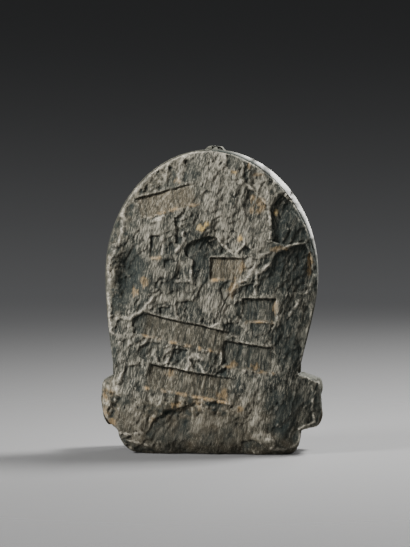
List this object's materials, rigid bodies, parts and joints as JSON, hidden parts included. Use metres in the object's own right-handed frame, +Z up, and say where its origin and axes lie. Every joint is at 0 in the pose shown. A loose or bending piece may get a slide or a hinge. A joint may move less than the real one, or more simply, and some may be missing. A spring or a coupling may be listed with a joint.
{
  "type": "stone stele with a seated figure, rough-hewn back",
  "caption": "Arched dark schist stele carved from one block: a seated Buddha on a lotus throne in front, a rough-hewn back with chisel pads, standing on its own foot.",
  "frame": {"origin": "on the floor, under the middle of the stele's bounding box", "axes": "+Z up, the carved figure faces -Y and the rough back faces +Y, +X to the figure's left"},
  "size_m": [0.332, 0.131, 0.461],
  "materials": {
    "stone": "rough, hewn, with ochre staining"
  },
  "bodies": {
    "root": {"stele": "stone"}
  },
  "joints": []
}
